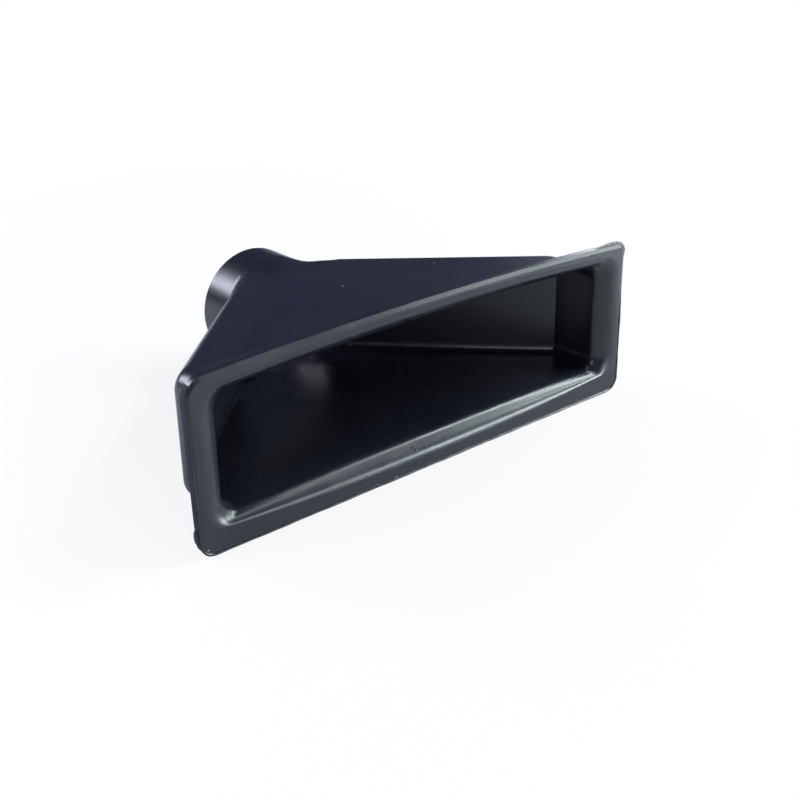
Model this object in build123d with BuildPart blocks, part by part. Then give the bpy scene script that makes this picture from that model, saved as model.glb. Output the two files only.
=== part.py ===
from build123d import *
from math import cos, radians, sin, sqrt, tan
from operator import mul
import os

# Air scoop: a wide flanged mouth that narrows through a flat funnel to a round hose spigot.
# Origin in the middle of the spigot's end, +Y along the air flow, +X along the flange, +Z up.
# Depths are counted from the flange's front face.

# Funnel, outer skin
wall = 2.4
funnel_width = 243.8
funnel_height = 65.6
funnel_draft = 2.2
funnel_edge_radius = 9.5
funnel_inner_radius = 4.5
funnel_angle = 45.0
side_depth = 34.9
side_corner_radius = 8.0
floor_rise = 3.2

# Spigot for the hose
spigot_diameter = 63.5
spigot_length = 18.7
spigot_blend_radius = 30.0

# Mouth of the funnel behind the window, set out from the funnel's inside
mouth_depth = 6.0
mouth_side_inset = 0.5
mouth_top_flare = 3.4
mouth_bottom_rise = 3.7
mouth_top_bow = 2.7
mouth_corner_radius = 8.0
mouth_roll_depth = 2.0

# Window in the flange round the mouth, its long edges bowed outwards
window_side_margin = 8.0
window_top_margin = 6.2
window_bottom_margin = 6.0
window_bottom_bow = 4.0
window_top_bow = 5.5
window_corner_radius = 10.0

# Share of the bevel between window and mouth that each rolled edge takes up
window_roll_share = 0.46
mouth_roll_share = 0.35

# Flange round the window
flange_side_margin = 8.0
flange_top_margin = 5.7
flange_bottom_margin = 9.3
flange_thickness = 4.0
flange_top_bow = 3.7
flange_left_lean = 1.3
flange_top_left_radius = 10.0
flange_top_right_radius = 3.7
flange_bottom_radius = 7.5
flange_rim_width = 2.0
flange_rim_depth = 0.8

# Places that follow from the sizes
turn = radians(funnel_angle)
spigot_radius = spigot_diameter / 2
spigot_corner = side_depth + (funnel_width / 2 - spigot_radius) / tan(turn)
spigot_start = spigot_corner + spigot_blend_radius * tan(turn / 2)
spigot_end = spigot_start + spigot_length
mouth_width = funnel_width - 2 * (wall + mouth_side_inset)
throat_start = mouth_depth + mouth_roll_depth
mouth_top = funnel_height / 2 - wall + mouth_top_flare
mouth_bottom = wall - funnel_height / 2 + mouth_bottom_rise
window_width = mouth_width + 2 * window_side_margin
window_top = mouth_top + window_top_margin
window_bottom = mouth_bottom - window_bottom_margin
flange_width = window_width + 2 * flange_side_margin
flange_top = window_top + flange_top_margin
flange_bottom = window_bottom - flange_bottom_margin

# Half angle of each bulging side once the section is round, the corner arcs take the rest
full_bulge = radians(22.5)
corner_stations = 3
blend_stations = 4
roll_stations = 3


def at_depth(y):
    """The plane across the air flow at depth y, seen from the front."""
    return Plane.XZ.offset(spigot_end - y)


def outline(y, half_width, bottom, top, bottom_bow, top_bow, radii, left_lean=0):
    """A rounded rectangle at depth y with bowed long edges, its left side leaning out at the top."""
    with BuildSketch(at_depth(y)) as profile:
        with BuildLine():
            left_side = Line((-half_width - left_lean, top - top_bow), (-half_width, bottom + bottom_bow))
            right_side = Line((half_width, bottom + bottom_bow), (half_width, top - top_bow))
            if bottom_bow:
                ThreePointArc(left_side @ 1, (0, bottom), right_side @ 0)
            else:
                Line(left_side @ 1, right_side @ 0)
            ThreePointArc(right_side @ 1, (0, top), left_side @ 0)
        make_face()
        corners = [left_side @ 0, left_side @ 1, right_side @ 0, right_side @ 1]
        for corner, radius in zip(corners, radii):
            fillet(profile.vertices().sort_by_distance(corner)[0], radius)
    return profile.sketch


def flange():
    """The flange's outer edge as it was trimmed: a leaning left side and a close top right corner."""
    radii = [flange_top_left_radius, flange_bottom_radius, flange_bottom_radius, flange_top_right_radius]
    half = flange_width / 2
    return outline(0, half, flange_bottom, flange_top, 0, flange_top_bow, radii, flange_left_lean)


def lip(y, share, grow, bottom_bow):
    """The lip's outline at depth y: the window's at share 0, the mouth's at share 1, made larger by grow."""
    width = window_width / 2 - window_side_margin * share + grow
    bottom = window_bottom + window_bottom_margin * share - grow
    top = window_top - window_top_margin * share + grow
    top_bow = window_top_bow + (mouth_top_bow - window_top_bow) * share
    radius = window_corner_radius + (mouth_corner_radius - window_corner_radius) * share + grow
    return outline(y, width, bottom, top, bottom_bow * (1 - share), top_bow, [radius] * 4)


def roll(start, corner, end):
    """Outlines that round the corner between two stretches of the lip, points given as depth and share."""
    outlines = []
    for t in stations(0, 1, roll_stations):
        weights = [(1 - t) ** 2, 2 * t * (1 - t), t**2]
        y, share = [sum(map(mul, weights, values)) for values in zip(start, corner, end)]
        outlines.append(lip(y, share, 0, window_bottom_bow))
    return outlines


def corner_radius(inset):
    """Radius of the side corner in plan: rounded outside, sharp inside."""
    return 0 if inset else side_corner_radius


def corner_start(inset):
    """Depth at which the straight side ends."""
    return side_depth - (corner_radius(inset) + inset) * tan(turn / 2)


def corner_end(inset):
    """Depth at which the side corner becomes the slanting wall."""
    return corner_start(inset) + corner_radius(inset) * sin(turn)


def blend_start(inset):
    """Depth at which the slanting wall begins to curve into the spigot."""
    return spigot_start - (spigot_blend_radius + inset) * sin(turn)


def half_width(y, inset):
    """Half the width at depth y of the skin moved inwards by inset: corner, slant, spigot blend."""
    corner = corner_radius(inset)
    blend = spigot_blend_radius + inset
    if y <= corner_end(inset):
        return funnel_width / 2 - inset - corner + sqrt(corner**2 - (y - corner_start(inset)) ** 2)
    if y < blend_start(inset):
        return funnel_width / 2 - inset - corner * (1 - cos(turn)) - (y - corner_end(inset)) * tan(turn)
    return spigot_radius - inset + blend - sqrt(blend**2 - (spigot_start - y) ** 2)


def roundness(y, inset):
    """0 in the flat funnel, 1 where the section has become the spigot's circle."""
    start = blend_start(inset)
    share = min(max((y - start) / (spigot_start - start), 0), 1)
    return share**2 * (3 - 2 * share)


def floor_lift(y, inset):
    """Half of what the thick floor takes from the inside at depth y, fading towards the spigot."""
    if inset == 0:
        return 0
    slant = blend_start(inset) - corner_end(inset)
    return floor_rise / 2 * max(1 - (y - corner_end(inset)) / slant, 0)


def section(y, inset):
    """Cross-section at depth y: four sides and four corner arcs, tangent where they meet."""
    share = roundness(y, inset)
    lift = floor_lift(y, inset)
    flat_height = funnel_height / 2 - y * tan(radians(funnel_draft))
    width = half_width(y, inset)
    height = flat_height + (spigot_radius - flat_height) * share - inset - lift
    edge_radius = funnel_inner_radius if inset else funnel_edge_radius
    radius = edge_radius + (spigot_radius - inset - edge_radius) * share
    bulge = full_bulge * share
    # Corner centres for which the bulging sides and the corner arcs are tangent
    spare_width = width - radius * (cos(bulge) - sin(bulge))
    spare_height = height - radius * (cos(bulge) - sin(bulge))
    lean = tan(bulge / 2)
    centre_x = (spare_width - spare_height * lean) / (1 - lean**2) - radius * sin(bulge)
    centre_z = (spare_height - spare_width * lean) / (1 - lean**2) - radius * sin(bulge)
    side_x = centre_x + radius * cos(bulge)
    side_z = centre_z + radius * sin(bulge)
    top_x = centre_x + radius * sin(bulge)
    top_z = centre_z + radius * cos(bulge)
    middle_x = centre_x + radius * sqrt(0.5)
    middle_z = centre_z + radius * sqrt(0.5)
    with BuildSketch(at_depth(y).shift_origin((0, y - spigot_end, lift))) as profile:
        with BuildLine():
            for way in (1, -1):
                if bulge == 0:
                    Line((way * side_x, -side_z), (way * side_x, side_z))
                    Line((-top_x, way * top_z), (top_x, way * top_z))
                else:
                    ThreePointArc((way * side_x, -side_z), (way * width, 0), (way * side_x, side_z))
                    ThreePointArc((-top_x, way * top_z), (0, way * height), (top_x, way * top_z))
                for end in (1, -1):
                    start = (way * side_x, end * side_z)
                    middle = (way * middle_x, end * middle_z)
                    ThreePointArc(start, middle, (way * top_x, end * top_z))
        make_face()
    return profile.sketch


def stations(start, end, count):
    """Evenly spaced depths from start to end."""
    return [start + (end - start) * i / (count - 1) for i in range(count)]


def skin(inset, mode):
    """The funnel's skin moved inwards by inset: mouth, rounded corner, slant, spigot blend, spigot."""
    corner_depths = stations(corner_start(inset), corner_end(inset), corner_stations)
    blend_depths = stations(blend_start(inset), spigot_start, blend_stations)
    loft([lip(throat_start, 1, wall - inset, 0), section(corner_start(inset), inset)], ruled=True, mode=mode)
    if corner_radius(inset):
        loft([section(y, inset) for y in corner_depths], mode=mode)
    loft([section(corner_end(inset), inset), section(blend_start(inset), inset)], ruled=True, mode=mode)
    # The hidden inside of the blend runs straight between its stations
    loft([section(y, inset) for y in blend_depths], ruled=inset > 0, mode=mode)
    with BuildSketch(at_depth(spigot_start)) as tube:
        Circle(spigot_radius - inset)
    extrude(tube.sketch, amount=spigot_start - spigot_end, mode=mode)


with BuildPart() as air_scoop:
    extrude(flange(), amount=-flange_thickness)
    # Rim: the face falls away towards the trimmed edge
    front = air_scoop.faces().sort_by(Axis.Y)[0]
    chamfer(front.edges(), flange_rim_width, flange_rim_depth, reference=front)
    # Back of the lip, then the funnel
    loft([lip(0, 0, wall, 0), lip(throat_start, 1, wall, 0)], ruled=True)
    skin(0, Mode.ADD)
    # Hollow: rolled edge of the window, bevel, rolled edge of the mouth, then the funnel's inside
    bevel_start = (window_roll_share * mouth_depth, window_roll_share)
    bevel_end = ((1 - mouth_roll_share) * mouth_depth, 1 - mouth_roll_share)
    window_roll = roll((0, -window_roll_share), (0, 0), bevel_start)
    mouth_roll = roll(bevel_end, (mouth_depth, 1), (throat_start, 1))
    loft(window_roll, mode=Mode.SUBTRACT)
    loft([window_roll[-1], mouth_roll[0]], ruled=True, mode=Mode.SUBTRACT)
    loft(mouth_roll, mode=Mode.SUBTRACT)
    skin(wall, Mode.SUBTRACT)

air_scoop.part.label = "air_scoop"
os.makedirs("parts", exist_ok=True)
export_step(air_scoop.part, "parts/air_scoop.step")
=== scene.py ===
import math

import bmesh
import bpy
from mathutils import Matrix, Vector


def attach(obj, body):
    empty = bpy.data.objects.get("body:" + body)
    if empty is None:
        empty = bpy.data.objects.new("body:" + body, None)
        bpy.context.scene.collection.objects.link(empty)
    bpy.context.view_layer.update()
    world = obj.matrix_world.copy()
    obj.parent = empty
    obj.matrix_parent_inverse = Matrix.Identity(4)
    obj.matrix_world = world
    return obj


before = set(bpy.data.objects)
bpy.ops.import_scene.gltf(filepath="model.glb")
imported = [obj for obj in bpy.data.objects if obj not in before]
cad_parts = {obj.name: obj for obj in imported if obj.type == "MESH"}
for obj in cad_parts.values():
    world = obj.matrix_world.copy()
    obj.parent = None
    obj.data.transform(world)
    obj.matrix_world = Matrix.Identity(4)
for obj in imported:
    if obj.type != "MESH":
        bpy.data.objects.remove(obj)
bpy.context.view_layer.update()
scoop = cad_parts["air_scoop"]

MM = 0.001

# Places on the part, in metres
FLANGE_FRONT = -0.15618
FLANGE_BACK = -0.15218
SPIGOT_RADIUS = 0.03175

# Marks left by trimming and use, and painted shade in nicks: place and half sizes of small lumps, in
# millimetres
BURR = {"edge_burr": ((-135.1, -153.2, -31.3), (1.3, 1.2, 4.0))}
CHIPS = {
    "face_speck": ((-131.6, -156.0, -38.2), (0.7, 0.3, 0.4)),
    "rim_chip_left": ((-38.3, -156.0, -40.2), (0.6, 0.3, 0.3)),
    "rim_chip_right": ((-25.6, -155.9, -40.4), (0.9, 0.3, 0.3)),
    "bevel_chip_left": ((-11.4, -154.7, -31.2), (0.35, 0.4, 0.6)),
    "bevel_chip_right": ((-5.5, -154.3, -30.8), (0.4, 0.4, 0.5)),
    "roof_speck_left": ((3.7, -80.6, 29.9), (0.45, 0.45, 0.25)),
    "roof_speck_right": ((62.7, -84.9, 30.0), (0.45, 0.45, 0.25)),
}
# Painted shade: near-black matt lumps stand in for the shade inside the rim's nicks and the bevel's dent
NICK_SHADES = {
    "rim_nick_shade_left": ((-37.2, -155.9, -40.8), (0.8, 0.35, 0.8)),
    "rim_nick_shade_right": ((-27.2, -155.9, -40.6), (1.0, 0.35, 0.6)),
    "bevel_dent_shade": ((-12.9, -153.5, -30.0), (0.9, 0.5, 0.5)),
}

# Torn fringe round the top right corner: its middle line as x and z, and its depth, in millimetres
FRINGE = [
    (113, 43.0),
    (118, 43.4),
    (123, 43.4),
    (128, 43.2),
    (132.2, 42.3),
    (134.7, 40.4),
    (135.9, 37.5),
    (135.4, 34.8),
    (134.9, 32.5),
]
FRINGE_DEPTH = -154.7
FRINGE_THICKNESS = 0.8
# Shares of that thickness: at the ends, added in the middle, and by which it varies from point to point
FRINGE_END = 0.35
FRINGE_SWELL = 0.9
FRINGE_RAGGEDNESS = 0.25
FRINGE_SMOOTHNESS = 12

# Raised rim along the flange's left, bottom and right edges, in millimetres
RIM_DEPTH = -155.35
RIM_SIDE = 134.4
RIM_LEAN = 1.1
RIM_TOP = 28
RIM_LOW = -32
RIM_BOTTOM = -41.8
RIM_REACH = 124
RIM_CORNER = 6.6
RIM_CORNER_STEPS = 6
RIM_STEP = 4
RIM_THICKNESS = 0.75
RIM_SMOOTHNESS = 2
# Points over which the rim thins out at either end, and its unevenness as share and rate along the points
RIM_TAPER = 8
RIM_RIPPLES = ((0.12, 2.1), (0.1, 0.7))

# Plastic: colours of the darker and the dusty patches, and normals that count as the sawn left edge
PLASTIC_DARK = (0.0080, 0.0084, 0.0138)
PLASTIC_DUSTY = (0.0125, 0.0132, 0.0205)
SAWN_NORMAL = -0.7
BLUISH = 1.1

# Floor and room
FLOOR_RADIUS = 3.0
FLOOR_SIDES = 96
WHITE = (1, 1, 1, 1)
PAPER = (0.66, 0.66, 0.66, 1)
ROOM = (0.055, 0.063, 0.12, 1)

# Softboxes: place, target, width and height in metres, power in watts and tint
LIP = (0, FLANGE_FRONT, -0.03)
BACK = (-0.02, -0.02, 0.02)
TOP_EDGE = (0.12, -0.154, 0.044)
RIGHT_FLOOR = (0.2, -0.24, -0.05)
LEFT_FLOOR = (-0.16, -0.07, -0.036)
COOL = (0.89, 1.0, 1.01)
SKY = (0.97, 1.0, 1.18)
SOFTBOXES = {
    "back_left": ((-0.55, 0.74, 0.60), BACK, 0.42, 0.55, 9, SKY),
    "back_right": ((1.04, 0.52, 0.40), TOP_EDGE, 0.2, 0.3, 1.4, SKY),
    "front_right": ((0.95, -0.98, 0.06), LIP, 0.55, 0.32, 13.2, COOL),
    "front_middle": ((0.48, -1.28, 0.06), LIP, 0.5, 0.32, 2.7, COOL),
    "right_high": ((0.95, -0.30, 0.92), LIP, 0.3, 0.3, 7.5, COOL),
    "middle_high": ((0.70, -0.33, 0.95), LIP, 0.3, 0.3, 1.8, COOL),
    "right_mid": ((1.05, -0.62, 0.54), LIP, 0.32, 0.5, 7.5, COOL),
    "right_near": ((0.60, -0.45, 0.32), RIGHT_FLOOR, 0.2, 0.25, 1.1, COOL),
    "front_left": ((-0.94, -0.92, 0.18), LIP, 0.7, 0.3, 0.3, COOL),
    "front_high": ((-0.46, -0.84, 0.52), BACK, 0.3, 0.3, 1.3, SKY),
    "left_low": ((-0.55, -0.02, 0.12), LEFT_FLOOR, 0.25, 0.2, 2.0, COOL),
    "overhead": ((0.1, -0.2, 1.6), LIP, 1.0, 0.7, 3, COOL),
}

# Camera: place in metres, angles in degrees, focal length and picture width in pixels, sensor in millimetres
EYE = (-0.3603, -0.4039 + FLANGE_FRONT, 0.2425)
YAW = 39.902
PITCH = 24.782
ROLL = 0.9953
FOCAL_LENGTH = 1234.707
PICTURE_WIDTH = 800
SENSOR_WIDTH = 36
NEAREST = 0.01


def node(tree, kind, **sockets):
    """A shader node with its unlinked sockets set by name."""
    made = tree.nodes.new(kind)
    for name, value in sockets.items():
        made.inputs[name.replace("_", " ")].default_value = value
    return made


def reckon(tree, operation, second=0.5):
    """A node that works out one value from two."""
    made = tree.nodes.new("ShaderNodeMath")
    made.operation = operation
    made.inputs[1].default_value = second
    return made


def ramp(tree, *stops):
    """A colour ramp between two stops, each a position and a colour."""
    made = tree.nodes.new("ShaderNodeValToRGB")
    for element, (position, color) in zip(made.color_ramp.elements, stops):
        element.position = position
        element.color = (*color, 1)
    return made


def link(tree, source, output, target, socket):
    """A link between two shader nodes."""
    tree.links.new(source.outputs[output], target.inputs[socket])


def blank(name):
    """A new material and its main shader."""
    material = bpy.data.materials.new(name)
    material.use_nodes = True
    return material, material.node_tree, material.node_tree.nodes["Principled BSDF"]


def plastic():
    """Black satin moulded plastic with a faint ripple, fine grain and scuffs."""
    material, tree, shader = blank("satin_black_plastic")
    shader.inputs["IOR"].default_value = 1.5
    place = tree.nodes.new("ShaderNodeTexCoord")

    # Colour: near black, slightly blue, with paler dusty patches
    clouds = node(tree, "ShaderNodeTexNoise", Scale=38.0, Detail=6.0, Roughness=0.62)
    tint = ramp(tree, (0.3, PLASTIC_DARK), (0.75, PLASTIC_DUSTY))
    link(tree, place, "Object", clouds, "Vector")
    link(tree, clouds, "Fac", tint, "Fac")
    link(tree, tint, "Color", shader, "Base Color")

    # Gloss: uneven, as a formed sheet is
    smears = node(tree, "ShaderNodeTexNoise", Scale=22.0, Detail=5.0, Roughness=0.6)
    gloss = node(tree, "ShaderNodeMapRange", From_Min=0.3, From_Max=0.7, To_Min=0.24, To_Max=0.34)
    link(tree, place, "Object", smears, "Vector")
    link(tree, smears, "Fac", gloss, "Value")

    # The flange's left edge is sawn and stays matt
    where = tree.nodes.new("ShaderNodeSeparateXYZ")
    facing = tree.nodes.new("ShaderNodeSeparateXYZ")
    on_flange = reckon(tree, "LESS_THAN", FLANGE_BACK)
    to_left = reckon(tree, "LESS_THAN", SAWN_NORMAL)
    sawn = reckon(tree, "MULTIPLY")
    rough = node(tree, "ShaderNodeMix", B=0.62)
    shine = node(tree, "ShaderNodeMapRange", To_Min=0.5, To_Max=0.15)
    link(tree, place, "Object", where, "Vector")
    link(tree, place, "Normal", facing, "Vector")
    link(tree, where, "Y", on_flange, 0)
    link(tree, facing, "X", to_left, 0)
    link(tree, on_flange, "Value", sawn, 0)
    link(tree, to_left, "Value", sawn, 1)
    link(tree, sawn, "Value", rough, "Factor")
    link(tree, gloss, "Result", rough, "A")
    link(tree, rough, "Result", shader, "Roughness")
    link(tree, sawn, "Value", shine, "Value")
    link(tree, shine, "Result", shader, "Specular IOR Level")

    # Relief: long soft waves and a fine grain
    waves = node(tree, "ShaderNodeTexNoise", Scale=26.0, Detail=2.0, Roughness=0.4)
    grain = node(tree, "ShaderNodeTexNoise", Scale=900.0, Detail=3.0, Roughness=0.55)
    soft = node(tree, "ShaderNodeBump", Strength=0.12, Distance=0.0016)
    fine = node(tree, "ShaderNodeBump", Strength=0.04, Distance=0.0001)
    link(tree, place, "Object", waves, "Vector")
    link(tree, place, "Object", grain, "Vector")
    link(tree, waves, "Fac", soft, "Height")
    link(tree, grain, "Fac", fine, "Height")
    link(tree, soft, "Normal", fine, "Normal")
    link(tree, fine, "Normal", shader, "Normal")
    return material


def matt(name, dark, light):
    """Matt plastic, its grey uneven between two tones."""
    material, tree, shader = blank(name)
    shader.inputs["Roughness"].default_value = 0.6
    place = tree.nodes.new("ShaderNodeTexCoord")
    clouds = node(tree, "ShaderNodeTexNoise", Scale=600.0, Detail=4.0)
    tint = ramp(tree, (0.35, (dark, dark, dark * BLUISH)), (0.65, (light, light, light * BLUISH)))
    link(tree, place, "Object", clouds, "Vector")
    link(tree, clouds, "Fac", tint, "Fac")
    link(tree, tint, "Color", shader, "Base Color")
    return material


def lay(name, data, material):
    """A small piece that belongs to the scoop."""
    piece = bpy.data.objects.new(name, data)
    bpy.context.scene.collection.objects.link(piece)
    data.materials.append(material)
    return piece


def lump(name, centre, half_sizes, material):
    """A rounded lump, place and half sizes in millimetres."""
    shape = bmesh.new()
    bmesh.ops.create_icosphere(shape, subdivisions=3, radius=MM)
    bmesh.ops.scale(shape, vec=half_sizes, verts=shape.verts)
    data = bpy.data.meshes.new(name)
    shape.to_mesh(data)
    shape.free()
    data.shade_smooth()
    piece = lay(name, data, material)
    piece.location = Vector(centre) * MM
    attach(piece, "root")


def bead(name, points, depth, radii, smoothness, material):
    """A round bead along points given as x and z, with a radius at each, in millimetres."""
    data = bpy.data.curves.new(name, "CURVE")
    data.dimensions = "3D"
    data.bevel_depth = MM
    data.bevel_resolution = 3
    line = data.splines.new("NURBS")
    line.points.add(len(points) - 1)
    line.use_endpoint_u = True
    line.resolution_u = smoothness
    for point, (x, z), radius in zip(line.points, points, radii):
        point.co = (x * MM, depth * MM, z * MM, 1)
        point.radius = radius
    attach(lay(name, data, material), "root")


def fringe(material):
    """Torn plastic round the top right corner, thick and thin by turns and thinner at both ends."""
    radii = []
    for i in range(len(FRINGE)):
        share = i / (len(FRINGE) - 1)
        swell = FRINGE_SWELL * math.sin(math.pi * share)
        radii.append(FRINGE_THICKNESS * (FRINGE_END + swell + FRINGE_RAGGEDNESS * (-1) ** i * share))
    bead("corner_fringe", FRINGE, FRINGE_DEPTH, radii, FRINGE_SMOOTHNESS, material)


def quarter(centre, start):
    """Points round a quarter of a bottom corner of the flange, from the angle start in degrees."""
    turns = [math.radians(start + 90 * step / RIM_CORNER_STEPS) for step in range(RIM_CORNER_STEPS + 1)]
    return [(centre[0] + RIM_CORNER * math.cos(a), centre[1] + RIM_CORNER * math.sin(a)) for a in turns]


def rim(material):
    """The raised rim that trimming left along the flange's left, bottom and right edges."""
    low = RIM_BOTTOM + RIM_CORNER
    side = RIM_SIDE - RIM_CORNER
    lean = RIM_LEAN / (RIM_TOP - low)
    points = [(-RIM_SIDE - lean * (z - low), z) for z in range(RIM_TOP, RIM_LOW, -RIM_STEP)]
    points += quarter((-side, low), 180)
    points += [(x, RIM_BOTTOM) for x in range(-RIM_REACH, RIM_REACH + 1, RIM_STEP)]
    points += quarter((side, low), 270)
    points += [(RIM_SIDE, z) for z in range(RIM_LOW, RIM_TOP + 1, RIM_STEP)]
    radii = []
    for i in range(len(points)):
        taper = min(1, (i + 1) / RIM_TAPER, (len(points) - i) / RIM_TAPER)
        unevenness = 1 + sum(share * math.sin(rate * i) for share, rate in RIM_RIPPLES)
        radii.append(RIM_THICKNESS * taper * unevenness)
    bead("trimmed_rim", points, RIM_DEPTH, radii, RIM_SMOOTHNESS, material)


def paper():
    """White paper that shows as white, a little greyer round the middle so that the shadow stays."""
    material = bpy.data.materials.new("white_paper")
    material.use_nodes = True
    tree = material.node_tree
    tree.nodes.clear()
    out = tree.nodes.new("ShaderNodeOutputMaterial")
    surface = node(tree, "ShaderNodeBsdfDiffuse", Color=PAPER)
    glow = node(tree, "ShaderNodeEmission", Color=WHITE, Strength=1.0)
    mix = tree.nodes.new("ShaderNodeMixShader")
    path = tree.nodes.new("ShaderNodeLightPath")
    place = tree.nodes.new("ShaderNodeTexCoord")
    distance = tree.nodes.new("ShaderNodeVectorMath")
    distance.operation = "LENGTH"
    fade = node(tree, "ShaderNodeMapRange", From_Min=0.10, From_Max=0.42, To_Min=0.78, To_Max=1.0)
    seen = reckon(tree, "MULTIPLY")
    link(tree, place, "Object", distance, 0)
    link(tree, distance, "Value", fade, "Value")
    link(tree, fade, "Result", seen, 0)
    link(tree, path, "Is Camera Ray", seen, 1)
    link(tree, seen, "Value", mix, "Fac")
    link(tree, surface, "BSDF", mix, 1)
    link(tree, glow, "Emission", mix, 2)
    link(tree, mix, "Shader", out, "Surface")
    return material


def studio():
    """A world that is white to the eye and a plain grey room to everything else."""
    world = bpy.data.worlds.new("studio")
    world.use_nodes = True
    tree = world.node_tree
    tree.nodes.clear()
    out = tree.nodes.new("ShaderNodeOutputWorld")
    room = node(tree, "ShaderNodeBackground", Color=ROOM, Strength=1.0)
    white = node(tree, "ShaderNodeBackground", Color=WHITE, Strength=1.0)
    mix = tree.nodes.new("ShaderNodeMixShader")
    path = tree.nodes.new("ShaderNodeLightPath")
    link(tree, path, "Is Camera Ray", mix, "Fac")
    link(tree, room, "Background", mix, 1)
    link(tree, white, "Background", mix, 2)
    link(tree, mix, "Shader", out, "Surface")
    return world


def softbox(name, place, target, width, height, power, color):
    """A rectangular studio light aimed at a point."""
    light = bpy.data.lights.new(name, "AREA")
    light.shape = "RECTANGLE"
    light.size = width
    light.size_y = height
    light.energy = power
    light.color = color
    lamp = bpy.data.objects.new(name, light)
    bpy.context.scene.collection.objects.link(lamp)
    lamp.location = place
    aim = Vector(target) - Vector(place)
    lamp.rotation_euler = aim.to_track_quat("-Z", "Y").to_euler()


satin = plastic()
scoop.data.materials.clear()
scoop.data.materials.append(satin)

chipped = matt("chipped_plastic", 0.06, 0.25)
torn = matt("torn_plastic", 0.03, 0.2)
# Near-black matt plastic: painted shade for the nicks and the dent
nick_shade = matt("painted_nick_shade", 0.002, 0.004)
for marks, material in ((BURR, satin), (CHIPS, chipped), (NICK_SHADES, nick_shade)):
    for name, (centre, half_sizes) in marks.items():
        lump(name, centre, half_sizes, material)
fringe(torn)
rim(satin)

# Floor: the part stands on the rim's bottom and the spigot, so the floor leans with that line
foot = (RIM_BOTTOM - RIM_THICKNESS) * MM
slope = (foot + SPIGOT_RADIUS) / (RIM_DEPTH * MM)
bpy.ops.mesh.primitive_circle_add(vertices=FLOOR_SIDES, radius=FLOOR_RADIUS, fill_type="NGON")
floor = bpy.context.object
floor.name = "floor"
floor.location = (0, 0, -SPIGOT_RADIUS)
floor.rotation_euler = (math.atan(slope), 0, 0)
floor.data.materials.append(paper())

bpy.context.scene.world = studio()
for name, settings in SOFTBOXES.items():
    softbox(name, *settings)

# Camera at the photograph's place
yaw = math.radians(YAW)
pitch = math.radians(PITCH)
roll = math.radians(ROLL)
ahead = Vector((math.sin(yaw) * math.cos(pitch), math.cos(yaw) * math.cos(pitch), -math.sin(pitch)))
right = Vector((math.cos(yaw), -math.sin(yaw), 0))
down = ahead.cross(right)
turned_right = right * math.cos(roll) + down * math.sin(roll)
turned_down = down * math.cos(roll) - right * math.sin(roll)
lens = bpy.data.cameras.new("camera")
lens.sensor_width = SENSOR_WIDTH
lens.lens = FOCAL_LENGTH / PICTURE_WIDTH * SENSOR_WIDTH
lens.clip_start = NEAREST
camera = bpy.data.objects.new("camera", lens)
bpy.context.scene.collection.objects.link(camera)
columns = Matrix((turned_right, -turned_down, -ahead)).transposed()
camera.matrix_world = Matrix.Translation(EYE) @ columns.to_4x4()
bpy.context.scene.camera = camera

bpy.context.scene.view_settings.view_transform = "Standard"

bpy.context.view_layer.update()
